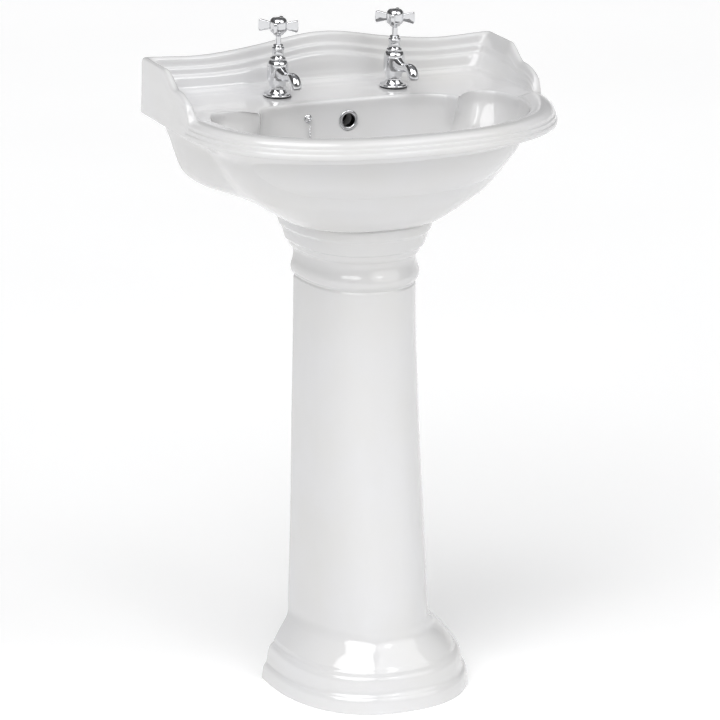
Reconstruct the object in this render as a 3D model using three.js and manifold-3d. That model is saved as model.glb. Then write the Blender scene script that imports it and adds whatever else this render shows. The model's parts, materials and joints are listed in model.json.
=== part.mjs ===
// A traditional two-tap pedestal basin, in millimetres, +Z up.
// Every shape is laid out with the floor at z = 0, the wall at y = 0, the front towards -Y and the
// plane of symmetry at x = 0. The finished group is then moved so that its box stands centred on the origin.
import * as THREE from 'three'
import { ParametricGeometry } from 'three/addons/geometries/ParametricGeometry.js'
import { mergeVertices } from 'three/addons/utils/BufferGeometryUtils.js'
import Module from 'manifold-3d'

const wasm = await Module()
wasm.setup()

// ---- driving dimensions ----
const GAP = 0.3                       // left between pieces that touch
const HALF_WIDTH = 262                // basin, across the wings
const DEPTH = 356                     // wall to the front of the lip
const LIP_Z = 777                     // underside of the rim
const DECK_Z = 800                    // tap deck and rim
const CORNER_Z = 853                  // top of the upstand at its corners
const HUMP = 17                       // rise of the upstand above its corners, in the middle
const CREASE_Y = -146                 // where the straight sides end and the round front begins
const WING_END_Y = -170               // where the wings run out into the rim
const RIM_WIDTH = 33                  // front lip to the bowl's edge
const BOWL_EDGE_Z = 797
const BOWL_FLOOR_Z = 671
const SEAT_Z = 648.3                  // flat under the bowl that the pedestal carries
const DECK_UNDER_Z = 788
const CENTRE_Y = -200                 // the centre that all outlines turn about
const WASTE_Y = -178                  // axis of the waste and the lowest point of the bowl
const TAP_X = 86
const TAP_Y = -60
const TAP_HOLE_R = 14
const TAP_SEAT_R = 20.5
const TAP_SEAT_Z = 798.6
const OVERFLOW = { y: -102.5, z: 768, r: 11 }
const CHANNEL_Y = -78                 // the way down from the overflow to the waste
const STAY = { x: -60, y: -103.5, z: 775, nutY: -90 }
const FIXING_X = 200                  // wall screw holes
const FIXING_Z = 745
const WASTE_HOLE_R = 22
const WASTE_FLANGE_R = 34
const WASTE_SEAT_Z = 671.4
const PEDESTAL_TOP = SEAT_Z - GAP
const HANDLE_ANGLE = -32              // degrees, how far each cross head stands turned

// ---- finishes ----
const finish = (color, roughness, metalness) => new THREE.MeshStandardMaterial({ color, roughness, metalness })
const china = finish(0xeeeeef, 0.08, 0)
const chrome = finish(0xd8dadd, 0.06, 1)
const brass = finish(0xb08d4a, 0.35, 1)
const rubber = finish(0x1c1c1d, 0.7, 0)
const fibre = finish(0xd9d6cc, 0.5, 0)
const plastic = finish(0xf2f2f0, 0.3, 0)

// ---- making and joining solids ----
const lerp = THREE.MathUtils.lerp
const clamp = THREE.MathUtils.clamp
const radians = THREE.MathUtils.degToRad
const smooth = (from, to, x) => THREE.MathUtils.smoothstep(x, from, to)

function signedVolume(position, index) {
  const [a, b, c] = [new THREE.Vector3(), new THREE.Vector3(), new THREE.Vector3()]
  let volume = 0
  for (let i = 0; i < index.length; i += 3) {
    a.fromBufferAttribute(position, index[i])
    b.fromBufferAttribute(position, index[i + 1])
    c.fromBufferAttribute(position, index[i + 2])
    volume += a.dot(b.cross(c)) / 6
  }
  return volume
}

// A closed three.js geometry as a manifold solid, with its faces turned outwards.
function solid(geometry) {
  const bare = geometry.clone()
  bare.deleteAttribute('normal')
  bare.deleteAttribute('uv')
  const merged = mergeVertices(bare, 1e-3)
  const raw = merged.index.array
  const index = []
  for (let i = 0; i < raw.length; i += 3) {
    const [a, b, c] = [raw[i], raw[i + 1], raw[i + 2]]
    if (a !== b && b !== c && c !== a) index.push(a, b, c)
  }
  if (signedVolume(merged.attributes.position, index) < 0) index.reverse()
  return new wasm.Manifold(new wasm.Mesh({
    numProp: 3,
    vertProperties: new Float32Array(merged.attributes.position.array),
    triVerts: new Uint32Array(index),
  }))
}

function geometryOf(body) {
  const mesh = body.getMesh()
  const geometry = new THREE.BufferGeometry()
  geometry.setAttribute('position', new THREE.BufferAttribute(new Float32Array(mesh.vertProperties), 3))
  geometry.setIndex(new THREE.BufferAttribute(new Uint32Array(mesh.triVerts), 1))
  geometry.computeVertexNormals()
  return geometry
}

const join = (...bodies) => bodies.reduce((a, b) => a.add(b))
const cut = (body, ...tools) => tools.reduce((a, b) => a.subtract(b), body)

function part(name, body, material, place = [0, 0, 0], turn = 0) {
  const mesh = new THREE.Mesh(geometryOf(body), material)
  mesh.name = name
  mesh.position.set(...place)
  mesh.rotation.z = radians(turn)
  return mesh
}

// A skin through rings of equal length; the first and last ring shrink to points.
function skin(rings) {
  const middle = (ring) => ring.reduce((a, p) => a.add(p), new THREE.Vector3()).divideScalar(ring.length)
  const first = middle(rings[0])
  const last = middle(rings[rings.length - 1])
  const all = [rings[0].map(() => first), ...rings, rings[rings.length - 1].map(() => last)]
  const count = rings[0].length
  const point = (u, v, target) => {
    target.copy(all[Math.round(v * (all.length - 1))][Math.round(u * count) % count])
  }
  return solid(new ParametricGeometry(point, count, all.length - 1))
}

// A turned solid about the Z axis, from [radius, height] pairs.
function turned(profile, sides = 16) {
  const points = profile.map(([r, z]) => new THREE.Vector2(r, z))
  const lathe = new THREE.LatheGeometry(points, sides)
  return solid(lathe.rotateX(Math.PI / 2))
}

const rod = (r, low, high, sides = 16) => turned([[0, low], [r, low], [r, high], [0, high]], sides)

// A turned ring, with its section given as [radius, height] pairs.
const ring = (profile, sides = 16) => turned([...profile, profile[0]], sides)

const washer = (inner, outer, low, high, sides = 16) =>
  ring([[inner, low], [outer, low], [outer, high], [inner, high]], sides)

function hexNut(acrossFlats, hole, low, high) {
  const body = rod(acrossFlats / Math.sqrt(3), low, high, 6)
  return cut(body, rod(hole, low - 1, high + 1, 16))
}

const box = (w, d, h, x, y, z) => solid(new THREE.BoxGeometry(w, d, h).translate(x, y, z))

// A round bar from one point to another.
function bar(from, to, r, sides = 16) {
  const a = new THREE.Vector3(...from)
  const b = new THREE.Vector3(...to)
  const along = b.clone().sub(a)
  const cylinder = new THREE.CylinderGeometry(r, r, along.length(), sides)
  const turn = new THREE.Quaternion().setFromUnitVectors(new THREE.Vector3(0, 1, 0), along.clone().normalize())
  return solid(cylinder.applyQuaternion(turn).translate(...a.add(b).multiplyScalar(0.5).toArray()))
}

// Rings of changing size strung along a curve in the plane x = 0.
function swelling(stations, sides = 12) {
  const curve = new THREE.CatmullRomCurve3(stations.map(([y, z]) => new THREE.Vector3(0, y, z)), false, 'catmullrom')
  const steps = stations.length + 1
  const rings = []
  for (let i = 0; i <= steps; i++) {
    const t = i / steps
    const centre = curve.getPoint(t)
    const tangent = curve.getTangent(t)
    const up = new THREE.Vector3(0, -tangent.z, tangent.y)
    const at = t * (stations.length - 1)
    const k = Math.min(Math.floor(at), stations.length - 2)
    const wide = lerp(stations[k][2], stations[k + 1][2], at - k)
    const tall = lerp(stations[k][3], stations[k + 1][3], at - k)
    const loop = []
    for (let j = 0; j < sides; j++) {
      const a = (2 * Math.PI * j) / sides
      loop.push(centre.clone().addScaledVector(up, tall * Math.sin(a)).add(new THREE.Vector3(wide * Math.cos(a), 0, 0)))
    }
    rings.push(loop)
  }
  return skin(rings)
}

// ---- outlines in plan ----
const CENTRE = new THREE.Vector2(0, CENTRE_Y)
const WASTE = new THREE.Vector2(0, WASTE_Y)

// A D outline: a straight back with round corners, straight sides that may close towards the back,
// and a front in the shape of a superellipse. The point lies on the ray from the centre at that angle.
function onD(angle, { half, halfBack = half, back, split = CREASE_Y, front, power = 2.4, corner }) {
  const [c, s] = [Math.cos(angle), Math.sin(angle)]
  const inside = (r) => {
    const x = Math.abs(r * c)
    const y = CENTRE_Y + r * s
    if (y < split) return (x / half) ** power + ((split - y) / (split - front)) ** power <= 1
    const width = lerp(half, halfBack, clamp((y - split) / (back - split), 0, 1))
    if (x > width || y > back) return false
    const past = [x - (width - corner), y - (back - corner)]
    return past[0] < 0 || past[1] < 0 || Math.hypot(...past) <= corner
  }
  let [near, far] = [0, 2 * DEPTH]
  for (let i = 0; i < 40; i++) {
    const middle = (near + far) / 2
    if (inside(middle)) near = middle
    else far = middle
  }
  return new THREE.Vector2(near * c, CENTRE_Y + near * s)
}

// The rays for one ring: even along the back and along the wings, then even in angle round the front.
// A ray knows its zone and how far through the zone it is, from the middle of the back to the front.
function rays(alongBack, alongSide, roundFront) {
  const list = []
  for (let i = 0; i < alongBack; i++) {
    const t = i / alongBack
    list.push({ angle: Math.atan2(-CENTRE_Y, HALF_WIDTH * t), zone: 'back', t })
  }
  for (let i = 0; i < alongSide; i++) {
    const t = i / alongSide
    list.push({ angle: Math.atan2(WING_END_Y * t - CENTRE_Y, HALF_WIDTH), zone: 'side', t })
  }
  const start = Math.atan2(WING_END_Y - CENTRE_Y, HALF_WIDTH)
  for (let i = 0; i <= roundFront; i++) {
    const t = i / roundFront
    list.push({ angle: lerp(start, -Math.PI / 2, t), zone: 'front', t })
  }
  const mirrored = list.slice(1, -1).reverse().map((ray) => ({ ...ray, angle: Math.PI - ray.angle }))
  return [...list, ...mirrored]
}

// ---- basin ----
// The serpentine top of the upstand, along the wall.
function serpentine(x) {
  const hump = HUMP * Math.exp(-((Math.abs(x) / 88) ** 2.1))
  const dip = 3.6 * Math.exp(-(((Math.abs(x) - 185) / 55) ** 2))
  return CORNER_Z + hump - dip
}

// How much of the upstand's height is left along a wing: a first fall, a soft step, and a last sweep.
function wingFall(y) {
  const late = clamp((-y - 118) / (-WING_END_Y - 119), 0, 1)
  return 1 - 0.38 * smooth(74, 116, -y) - 0.62 * (1 - Math.sqrt(1 - late * late))
}

// The bowl's edge on one side: behind, from the middle to a cusp beside the tap, and then a lobe that
// runs round to where the rim begins. Lower down the bowl has a plain round outline without the cusp.
const edgeCurve = (points) => new THREE.CatmullRomCurve3(
  points.map(([x, y]) => new THREE.Vector3(x, y, 0)), false, 'centripetal')
const BOWL_BACK = edgeCurve([[0, -100], [42, -101], [84, -104.5], [116, -112], [135, -123], [145, -139]])
const BOWL_LOBE = edgeCurve([[145, -139], [154, -130], [168, -121.5], [187, -117.5], [206, -126], [217, -150], [221, -174.7]])
const ROUND_BACK = edgeCurve([[0, -101], [40, -102.5], [80, -106.5], [112, -114], [133, -121.5], [149, -127]])
const ROUND_LOBE = edgeCurve([[149, -127], [160, -128.5], [173, -128.5], [189, -131], [205, -140], [216, -155], [221, -174.7]])

function onBowlEdge({ angle, zone, t }, back, lobe) {
  if (zone === 'front') {
    const side = { half: HALF_WIDTH - RIM_WIDTH, back: -60, front: -DEPTH + RIM_WIDTH, corner: 40 }
    const p = onD(angle, side)
    const late = smooth(0, 0.35, t)
    const lobeEnd = lobe.getPoint(1)
    const pull = lobeEnd.x / onD(Math.atan2(lobeEnd.y - CENTRE_Y, lobeEnd.x), side).x
    return p.sub(CENTRE).multiplyScalar(lerp(pull, 1, late)).add(CENTRE)
  }
  const p = (zone === 'back' ? back : lobe).getPoint(t)
  return new THREE.Vector2(Math.sign(Math.cos(angle)) * p.x, p.y)
}

// The upstand and rim from the deck outwards, as they are at the rim and at the wall.
// rim and side are inset from the widest outline; back is inset from the wall. rimZ is a height, and a
// wing height is a share of the way up from the deck or a fall below the upstand's top.
const UPSTAND = [
  { rim: 25, rimZ: 801.2, side: 46, back: 36, up: 0 },
  { rim: 21, rimZ: 802, side: 41, back: 29, up: 0.06 },
  { rim: 19, rimZ: 802.2, side: 38, back: 25, up: 0.15 },
  { rim: 18, rimZ: 802.3, side: 36, back: 22.5, up: 0.19 },
  { rim: 17, rimZ: 802.3, side: 26, back: 19, fall: 28 },
  { rim: 16, rimZ: 802.2, side: 24, back: 15.5, fall: 25 },
  { rim: 15, rimZ: 802.1, side: 21, back: 14.5, fall: 17 },
  { rim: 14, rimZ: 802, side: 19, back: 11.5, fall: 14 },
  { rim: 12, rimZ: 801.6, side: 12, back: 10.5, fall: 4 },
  { rim: 10.5, rimZ: 801.2, side: 8.5, back: 8.5, fall: 0.8 },
  { rim: 8.5, rimZ: 800.2, side: 5.5, back: 5, fall: 0 },
  { rim: 6.5, rimZ: 798.5, side: 3, back: 1.5, fall: 1.2 },
  { rim: 4.4, rimZ: 795.5, side: 2, back: 0, fall: 5 },
  { rim: 4.1, rimZ: 791.5, side: 1.6, back: 0, drop: 0.3 },
  { rim: 2.4, rimZ: 790, side: 1.4, back: 0, drop: 0.5 },
  { rim: 2, rimZ: 785.5, side: 1.1, back: 0, drop: 0.7 },
  { rim: 0.5, rimZ: 784, side: 0.8, back: 0, drop: 0.86 },
  { rim: 0, rimZ: 780, side: 0.2, back: 0, drop: 0.96 },
  { rim: 2, rimZ: LIP_Z + 0.4, side: 1.4, back: 0, drop: 1 },
]

// The underside from the lip inwards to the seat: insets, corner radius and height in front and behind.
const UNDERSIDE = [
  { side: 19, sideBack: 23, front: 20, back: 0, corner: 14, z: 776, zBack: 775.4 },
  { side: 26, sideBack: 27, front: 28, back: 0, corner: 24, z: 770, zBack: 763 },
  { side: 33, sideBack: 30.5, front: 36.5, back: 1, corner: 34, z: 763, zBack: 749 },
  { side: 43, sideBack: 35, front: 46, back: 3.6, corner: 40, z: 753, zBack: 726 },
  { side: 54, sideBack: 42, front: 56, back: 9.6, corner: 44, z: 734, zBack: 702 },
  { side: 69, sideBack: 55.5, front: 65.5, back: 20, corner: 46, z: 713, zBack: 689 },
  { side: 88, sideBack: 77, front: 76, back: 34.6, corner: 44, z: 692, zBack: 682 },
  { side: 111, sideBack: 102.5, front: 89, back: 55, corner: 38, z: 675, zBack: 674 },
  { side: 136, sideBack: 129, front: 103, back: 79, corner: 28, z: 659, zBack: 661.5 },
  { side: 156.5, sideBack: 156.5, front: 117, back: 104, corner: 8, z: SEAT_Z, zBack: SEAT_Z },
]

function basinRings(spokes) {
  const angles = spokes.map((ray) => ray.angle)
  const lip = { half: HALF_WIDTH, back: 0, front: -DEPTH, corner: 6 }
  const outer = angles.map((a) => onD(a, lip))
  const edge = spokes.map((ray) => onBowlEdge(ray, BOWL_BACK, BOWL_LOBE))
  const round = spokes.map((ray) => onBowlEdge(ray, ROUND_BACK, ROUND_LOBE))
  const onWing = outer.map((p) => 1 - smooth(-WING_END_Y - 10, -WING_END_Y, -p.y))
  const behind = outer.map((p) => 1 - smooth(40, 150, -p.y))
  const top = outer.map((p) => DECK_Z + (serpentine(p.x) - DECK_Z) * wingFall(p.y))
  const rings = []
  // bowl, from the waste to its edge
  const spans = [0.12, 0.3, 0.45, 0.58, 0.7, 0.8, 0.88, 0.93, 0.975, 0.99, 1]
  for (const t of spans) {
    const depth = (1 - t ** 2.6) ** (1 / 1.9)
    rings.push(angles.map((a, i) => {
      const p = WASTE.clone().lerp(round[i].clone().lerp(edge[i], 1 - smooth(0.03, 0.4, depth)), t)
      const edgeZ = lerp(DECK_Z - 0.5, BOWL_EDGE_Z, onWing[i])
      return new THREE.Vector3(p.x, p.y, edgeZ - 5 - (edgeZ - 5 - BOWL_FLOOR_Z) * depth)
    }))
  }
  // the rolled edge and the deck
  for (const [grow, rise] of [[1.2, -1.6], [4, 0]]) {
    rings.push(angles.map((a, i) => {
      const p = edge[i].clone().sub(CENTRE)
      p.setLength(p.length() + grow).add(CENTRE)
      return new THREE.Vector3(p.x, p.y, lerp(DECK_Z - 0.5, BOWL_EDGE_Z, onWing[i]) + rise)
    }))
  }
  for (const s of UPSTAND) {
    rings.push(angles.map((a, i) => {
      const p = onD(a, {
        half: HALF_WIDTH - s.rim, halfBack: HALF_WIDTH - s.side, back: -s.back, front: -DEPTH + s.rim,
        corner: Math.max(6, s.side / 2),
      })
      const height = top[i] - DECK_Z
      const share = Math.min(1, height / (CORNER_Z - DECK_Z))
      let wingZ = top[i] - (s.fall ?? 0) * share
      if (s.up !== undefined) wingZ = DECK_Z + s.up * Math.min(height, CORNER_Z - DECK_Z)
      if (s.drop !== undefined) wingZ = lerp(top[i] - 5 * share, LIP_Z, s.drop)
      return new THREE.Vector3(p.x, p.y, lerp(s.rimZ, wingZ, onWing[i]))
    }))
  }
  for (const s of UNDERSIDE) {
    rings.push(angles.map((a, i) => {
      const p = onD(a, {
        half: HALF_WIDTH - s.side, halfBack: HALF_WIDTH - s.sideBack, back: -s.back, front: -DEPTH + s.front,
        corner: s.corner, power: 2.3,
      })
      return new THREE.Vector3(p.x, p.y, lerp(s.z, s.zBack, behind[i]))
    }))
  }
  rings.push(angles.map((a) => new THREE.Vector3(60 * Math.cos(a), WASTE_Y + 40 * Math.sin(a), SEAT_Z)))
  return rings
}

// The open space behind the bowl where a tap's tail comes down, on the side of the sign.
function tapPocket(sign) {
  const shape = new THREE.Shape([
    new THREE.Vector2(-15, 560), new THREE.Vector2(-15, DECK_UNDER_Z),
    new THREE.Vector2(-87, DECK_UNDER_Z), new THREE.Vector2(-102, 660), new THREE.Vector2(-102, 560),
  ])
  const width = 92
  const slab = new THREE.ExtrudeGeometry(shape, { depth: width, bevelEnabled: false })
  slab.rotateX(Math.PI / 2).rotateZ(Math.PI / 2).translate(sign * 79 - width / 2, 0, 0)
  return solid(slab)
}

// Seats are cut flat where a fitting stands against the glaze.
function basin() {
  const body = skin(basinRings(rays(14, 12, 16)))
  const holes = []
  for (const x of [-TAP_X, TAP_X]) {
    holes.push(rod(TAP_HOLE_R, 700, 900).translate(x, TAP_Y, 0))
    holes.push(rod(TAP_SEAT_R, TAP_SEAT_Z, 830, 24).translate(x, TAP_Y, 0))
  }
  for (const x of [-FIXING_X, FIXING_X]) holes.push(bar([x, -30, FIXING_Z], [x, 10, FIXING_Z], 5))
  holes.push(
    bar([0, -128, OVERFLOW.z], [0, CHANNEL_Y, OVERFLOW.z], OVERFLOW.r, 20),
    bar([0, CHANNEL_Y, OVERFLOW.z + 5], [0, CHANNEL_Y, 684], 8),
    bar([0, CHANNEL_Y, 688], [0, WASTE_Y + 12, 664], 5.5),
    bar([0, -128, OVERFLOW.z], [0, OVERFLOW.y, OVERFLOW.z], 15, 20),
    rod(WASTE_HOLE_R, 600, 700).translate(0, WASTE_Y, 0),
    rod(WASTE_FLANGE_R + 1, WASTE_SEAT_Z, 720, 24).translate(0, WASTE_Y, 0),
    bar([STAY.x, -125, STAY.z], [STAY.x, -60, STAY.z], 3.2, 10),
    bar([STAY.x, -125, STAY.z], [STAY.x, STAY.y, STAY.z], 6.5),
    bar([STAY.x, STAY.nutY, STAY.z], [STAY.x, -60, STAY.z], 8),
  )
  return cut(body, tapPocket(1), tapPocket(-1), ...holes)
}

// ---- pedestal ----
// Height, half width, back and front: foot, cove, shaft, ring and capital. The back leans forwards
// towards the floor and steps further out at the foot, clear of a skirting board.
const PEDESTAL = [
  [0, 140, -157, -341], [11, 139, -157, -340], [20, 137, -157, -338], [24, 133.5, -156, -334],
  [27, 132.5, -156, -332], [38, 131, -156, -330], [47, 127.5, -156, -327], [51, 123, -156, -321],
  [55, 121.3, -156, -318], [65, 114, -152.6, -309], [77, 101.6, -145, -297.5], [90, 92, -134, -290.5],
  [104, 89.6, -127, -289], [200, 85.8, -121.6, -278], [400, 82, -112.5, -243], [500, 79.8, -108, -232],
  [556, 79, -105.5, -228.5], [561, 77.8, -105, -227], [564.5, 80.5, -105, -229.5], [570, 83, -105, -232.5],
  [577, 83, -105, -232], [584, 81, -105, -228.5], [591, 80, -105, -225.5], [598, 81, -105, -225],
  [602, 83.8, -105, -227], [609, 87, -105, -229.5], [613, 91.5, -105, -232.5], [624, 95.5, -105, -235],
  [631, 97.6, -105, -236], [634, 100.6, -105, -238], [PEDESTAL_TOP, 104.5, -105, -238],
]

// The hollow inside, which runs out through the back: height, half width, where it begins to round, front.
const PEDESTAL_HOLLOW = [
  [-5, 120, -169, -322], [20, 119, -169, -320], [50, 108, -165, -303], [80, 89, -150, -286],
  [110, 78, -139, -276], [200, 74.5, -133.6, -266], [400, 71, -124.5, -232], [500, 68.8, -120, -221],
  [556, 67.5, -117.5, -217], [598, 69.5, -117, -214], [613, 77, -117, -219], [640, 92, -117, -228],
  [680, 92, -117, -228],
]

// A U open to the back: flat behind, square at the back corners, straight sides and a full round front.
function onU(half, back, front, z, split = back - 12) {
  const side = [0, 0.5, 1].map((t) => [half * t, back])
  for (const y of [back - 4, split]) side.push([half, y])
  const steps = 14
  for (let i = 1; i <= steps; i++) {
    const a = (Math.PI / 2) * (i / steps)
    side.push([half * Math.cos(a) ** (2 / 2.35), split - (split - front) * Math.sin(a) ** (2 / 2.35)])
  }
  side[side.length - 1][0] = 0
  const other = side.slice(1, -1).reverse().map(([x, y]) => [-x, y])
  return [...side, ...other].map(([x, y]) => new THREE.Vector3(x, y, z))
}

function pedestal() {
  const outer = PEDESTAL.map(([z, half, back, front]) => onU(half, back, front, z))
  const inner = PEDESTAL_HOLLOW.map(([z, half, split, front]) => onU(half, -60, front, z, split))
  return cut(skin(outer), skin(inner))
}

// ---- taps ----
// A tap stands on z = 0 of its own, with its spout towards -Y.
const TAP = { tailZ: -50, bodyTop: 47.2, seatZ: 30, chamberR: 8.2, spindleR: 3.8, hubLow: 82, hubHigh: 104.8 }

function tapBody() {
  const column = turned([
    [0, TAP.tailZ], [9.6, TAP.tailZ], [10.2, TAP.tailZ + 1.5], [10.2, 0], [19.5, 0], [19.5, 1.6], [18, 3],
    [13.5, 3.6], [12.3, 5], [10.9, 9], [10.8, 13], [12, 17], [13.9, 20.5], [14.3, 25], [14.3, 41],
    [13, 45.5], [11, TAP.bodyTop], [0, TAP.bodyTop],
  ], 20)
  const spout = swelling([
    [-6, 33, 8, 10], [-18, 31.5, 7.5, 8.2], [-32, 31, 6.6, 6.2], [-46, 33.5, 6.8, 6.2],
    [-57, 32, 7.6, 7.6], [-62, 26, 7.6, 7.6], [-63, 20, 6.6, 6.6],
  ])
  return cut(
    join(column, spout),
    rod(TAP.chamberR, TAP.seatZ, TAP.bodyTop + 5),
    rod(4, TAP.tailZ - 5, TAP.bodyTop, 14),
    bar([0, -4, 35], [0, -60, 32.5], 3.4, 12),
    bar([0, -61.5, 34], [0, -63.2, 10], 4.6, 14),
  )
}

const headwork = () => ring([
  [3, 40], [7.9, 40], [7.9, 47.5], [10.6, 47.5], [10.6, 50.2], [9.2, 51.2], [8, 54], [7.5, 60.5], [8.5, 61.5],
  [8.5, 64.5], [7.5, 65.5], [6.6, 69], [4.3, 69], [4.3, 50], [3, 50],
])

const spindle = () => cut(
  turned([[0, 50.4], [3.6, 50.4], [TAP.spindleR, 51], [TAP.spindleR, 80.5], [3.1, 81.5], [3.1, 98.2], [0, 98.2]], 16),
  rod(1.9, 88, 100, 10),
)

const jumper = () => turned([[0, 33.2], [6.4, 33.2], [6.4, 34.8], [2.6, 35.4], [2.6, 46], [0, 46]], 16)

function crossHandle() {
  const hub = ring([
    [3.5, TAP.hubLow], [5.8, TAP.hubLow], [8, 84], [11.6, 87], [12.2, 90], [12.2, 98.5], [11, 102.5],
    [8.6, TAP.hubHigh], [7.8, TAP.hubHigh], [7.8, 100], [2, 100], [2, 98.5], [3.5, 98.5],
  ], 16)
  const side = new THREE.Shape([
    [9.5, 90], [17, 88.2], [24.5, 86.2], [26.7, 87.8], [27.3, 94.5], [26.7, 101.2], [24.5, 102.8], [17, 100.8], [9.5, 99],
  ].map(([x, y]) => new THREE.Vector2(x, y)))
  const thick = 5
  const paddle = new THREE.ExtrudeGeometry(side, { depth: thick, bevelEnabled: false })
  paddle.translate(0, 0, -thick / 2).rotateX(Math.PI / 2)
  const arms = [0, 90, 180, 270].map((turn) => solid(paddle).rotate([0, 0, turn]))
  return join(hub, ...arms)
}

const handleScrew = () => turned([[0, 90], [1.5, 90], [1.5, 100.3], [3.4, 100.3], [3.4, 101.4], [2.6, 102.2], [0, 102.2]], 12)
const indexCap = () => turned([[0, 102.7], [7.3, 102.7], [7.3, 104.4], [6.2, 105.1], [3.4, 105.6], [0, 105.8]])

// Every piece of one tap, with its finish; the pieces above the bonnet stand turned with the handle.
function tap(side, x) {
  const stand = [x, TAP_Y, TAP_SEAT_Z + 1.6]
  const deckUnder = DECK_UNDER_Z - stand[2]
  const fixed = [
    ['tap_body', tapBody(), chrome],
    ['deck_gasket', washer(10.8, 18.8, -1.3, -GAP), rubber],
    ['under_washer', washer(10.8, 18, deckUnder - 3.3, deckUnder - GAP), fibre],
    ['backnut', hexNut(29, 10.8, deckUnder - 13, deckUnder - 3.6), brass],
    ['headwork', headwork(), chrome],
    ['valve_jumper', jumper(), brass],
    ['valve_washer', rod(6.2, TAP.seatZ + GAP, 32.9, 16), rubber],
  ]
  const turning = [
    ['spindle', spindle(), chrome],
    ['cross_handle', crossHandle(), chrome],
    ['handle_screw', handleScrew(), brass],
    ['index_cap', indexCap(), chrome],
  ]
  return [
    ...fixed.map(([name, body, material]) => part(`${side}_${name}`, body, material, stand)),
    ...turning.map(([name, body, material]) => part(`${side}_${name}`, body, material, stand, HANDLE_ANGLE)),
  ]
}

// ---- overflow trim, chain stay, plug and chain ----
// A piece turned about Z, laid down so that its top faces the front of the bowl.
const facingFront = (body, x, y, z) => body.rotate([90, 0, 0]).translate(x, y, z)

const overflowTrim = () => facingFront(ring([
  [9.4, -11], [10.6, -11], [10.6, GAP], [14, GAP], [14, 1.4], [13, 2.6], [10.4, 2.6], [9.4, 1.6],
], 24), 0, OVERFLOW.y, OVERFLOW.z)

function chainStay() {
  const shank = turned([
    [0, STAY.y - STAY.nutY - 9], [2.8, STAY.y - STAY.nutY - 9], [2.8, GAP], [5.8, GAP], [5.8, 1.4], [4.6, 2.4],
    [3.2, 3], [3, 5], [2, 6.4], [0, 6.8],
  ], 14)
  const eye = solid(new THREE.TorusGeometry(2.6, 0.8, 6, 12).rotateY(Math.PI / 2).translate(0, -2.6, 4.6))
  return facingFront(join(shank, eye), STAY.x, STAY.y, STAY.z)
}

const stayNut = () => facingFront(hexNut(11, 3.2, 0, 4), STAY.x, STAY.nutY + 4 + GAP, STAY.z)

const PLUG_TOP = 681
const plugRubber = () => turned([[0, 665], [16.2, 665], [18.4, 677], [19.4, 677.6], [19.4, 679], [0, 679]], 24)
  .translate(0, WASTE_Y, 0)

function plugCap() {
  const plate = turned([[0, 679.3], [15, 679.3], [15, 680.2], [9, PLUG_TOP], [3, 682.4], [2.4, 684], [0, 684.4]], 20)
  const eye = solid(new THREE.TorusGeometry(3, 0.9, 6, 12).rotateX(Math.PI / 2).translate(0, 0, 686.4))
  return join(plate, eye).translate(0, WASTE_Y, 0)
}

const CHAIN_R = 1.6
const CHAIN_FALL = [[-60, -110.9, 765.5], [-59.9, -111.4, 757], [-59.6, -112.2, 748.5]]
const CHAIN_ON_BOWL = [
  [-59, -115], [-58, -119], [-57.5, -124], [-59, -130.5], [-64, -137.5], [-70, -145], [-73.5, -153.5],
  [-72, -162], [-66, -168.5], [-58, -172], [-49, -173],
]
const CHAIN_TO_EYE = [
  [-33, -172.5, 679.6], [-24, -173, 683.4], [-15, -174.5, 685.2], [-8.6, -175.8, 686], [-5.6, -176.6, 686.2],
]

// The chain falls from its stay, lies on the bowl, and climbs over the waste to the plug's eye.
function chain(bowl) {
  const caster = new THREE.Raycaster()
  const resting = ([x, y]) => {
    caster.set(new THREE.Vector3(x, y, DECK_Z), new THREE.Vector3(0, 0, -1))
    const hit = caster.intersectObject(bowl)[0]
    return hit.point.addScaledVector(hit.face.normal, CHAIN_R + 1.5)
  }
  const air = (points) => points.map((p) => new THREE.Vector3(...p))
  const points = [...air(CHAIN_FALL), ...CHAIN_ON_BOWL.map(resting), ...air(CHAIN_TO_EYE)]
  const route = new THREE.CatmullRomCurve3(points, false, 'centripetal')
  const section = new THREE.Shape()
  for (let i = 0; i < 8; i++) {
    const a = (Math.PI * (2 * i + 1)) / 8
    const [x, y] = [CHAIN_R * Math.cos(a), CHAIN_R * Math.sin(a)]
    if (i === 0) section.moveTo(x, y)
    else section.lineTo(x, y)
  }
  return solid(new THREE.ExtrudeGeometry(section, { steps: 36, extrudePath: route, bevelEnabled: false }))
}

// ---- waste and trap ----
const onWaste = (body) => body.translate(0, WASTE_Y, 0)

function wasteBody() {
  const tube = ring([
    [15.6, 610], [20.4, 610], [20.4, WASTE_SEAT_Z + 2.1], [WASTE_FLANGE_R - 1, WASTE_SEAT_Z + 2.1],
    [WASTE_FLANGE_R - 1, WASTE_SEAT_Z + 3], [WASTE_FLANGE_R - 5, WASTE_SEAT_Z + 4], [20.2, WASTE_SEAT_Z + 3.4],
    [17, 664], [17, 659], [15.6, 657],
  ], 24)
  const slot = box(12, 60, 7, 0, 0, 660.5)
  const spoke = join(box(33, 2, 3, 0, 0, 655), box(2, 33, 3, 0, 0, 655))
  return onWaste(join(cut(tube, slot), spoke))
}

const TRAP_Z = 535                    // centre of the outlet

function trapBody() {
  const bottle = ring([
    [13, 500], [14.6, 500], [14.6, 548], [22, 552], [30, 548], [30, 482], [33, 482], [33, 552], [29, 560],
    [16.5, 565], [16, 570], [16, 603], [19.9, 603], [19.9, 606], [13, 606],
  ])
  const stub = bar([0, 25, TRAP_Z], [0, 52, TRAP_Z], 17)
  return onWaste(cut(join(bottle, stub), bar([0, 20, TRAP_Z], [0, 60, TRAP_Z], 13.5)))
}

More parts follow.
